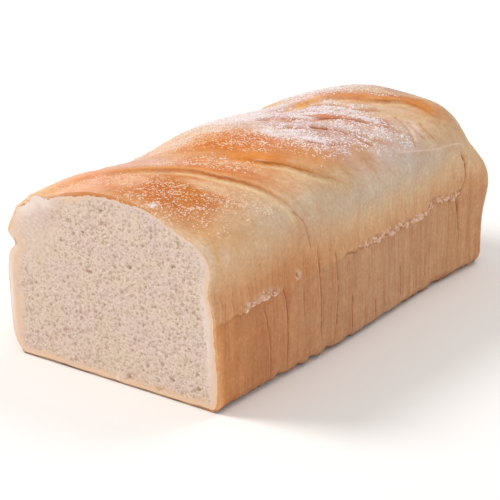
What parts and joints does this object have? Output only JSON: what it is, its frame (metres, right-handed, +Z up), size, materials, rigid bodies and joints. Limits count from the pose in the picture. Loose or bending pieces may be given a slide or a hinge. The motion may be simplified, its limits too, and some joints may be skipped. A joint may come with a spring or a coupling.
{
  "type": "tin loaf",
  "caption": "White tin loaf, domed and folded on top, with upright sides and one heel cut off to show the crumb.",
  "frame": {"origin": "middle of the base, on the surface that the loaf stands on", "axes": "+Z up, the loaf lies along Y, its cut face looks along -Y"},
  "size_m": [0.1198, 0.2386, 0.0938],
  "materials": {
    "crust": "golden to orange baked crust, paler on the shoulders and dusted with flour on top",
    "crumb": "pale cream crumb with fine uneven pores",
    "flour": "dry white flour dust"
  },
  "bodies": {
    "root": {"loaf": "crust"}
  },
  "joints": []
}
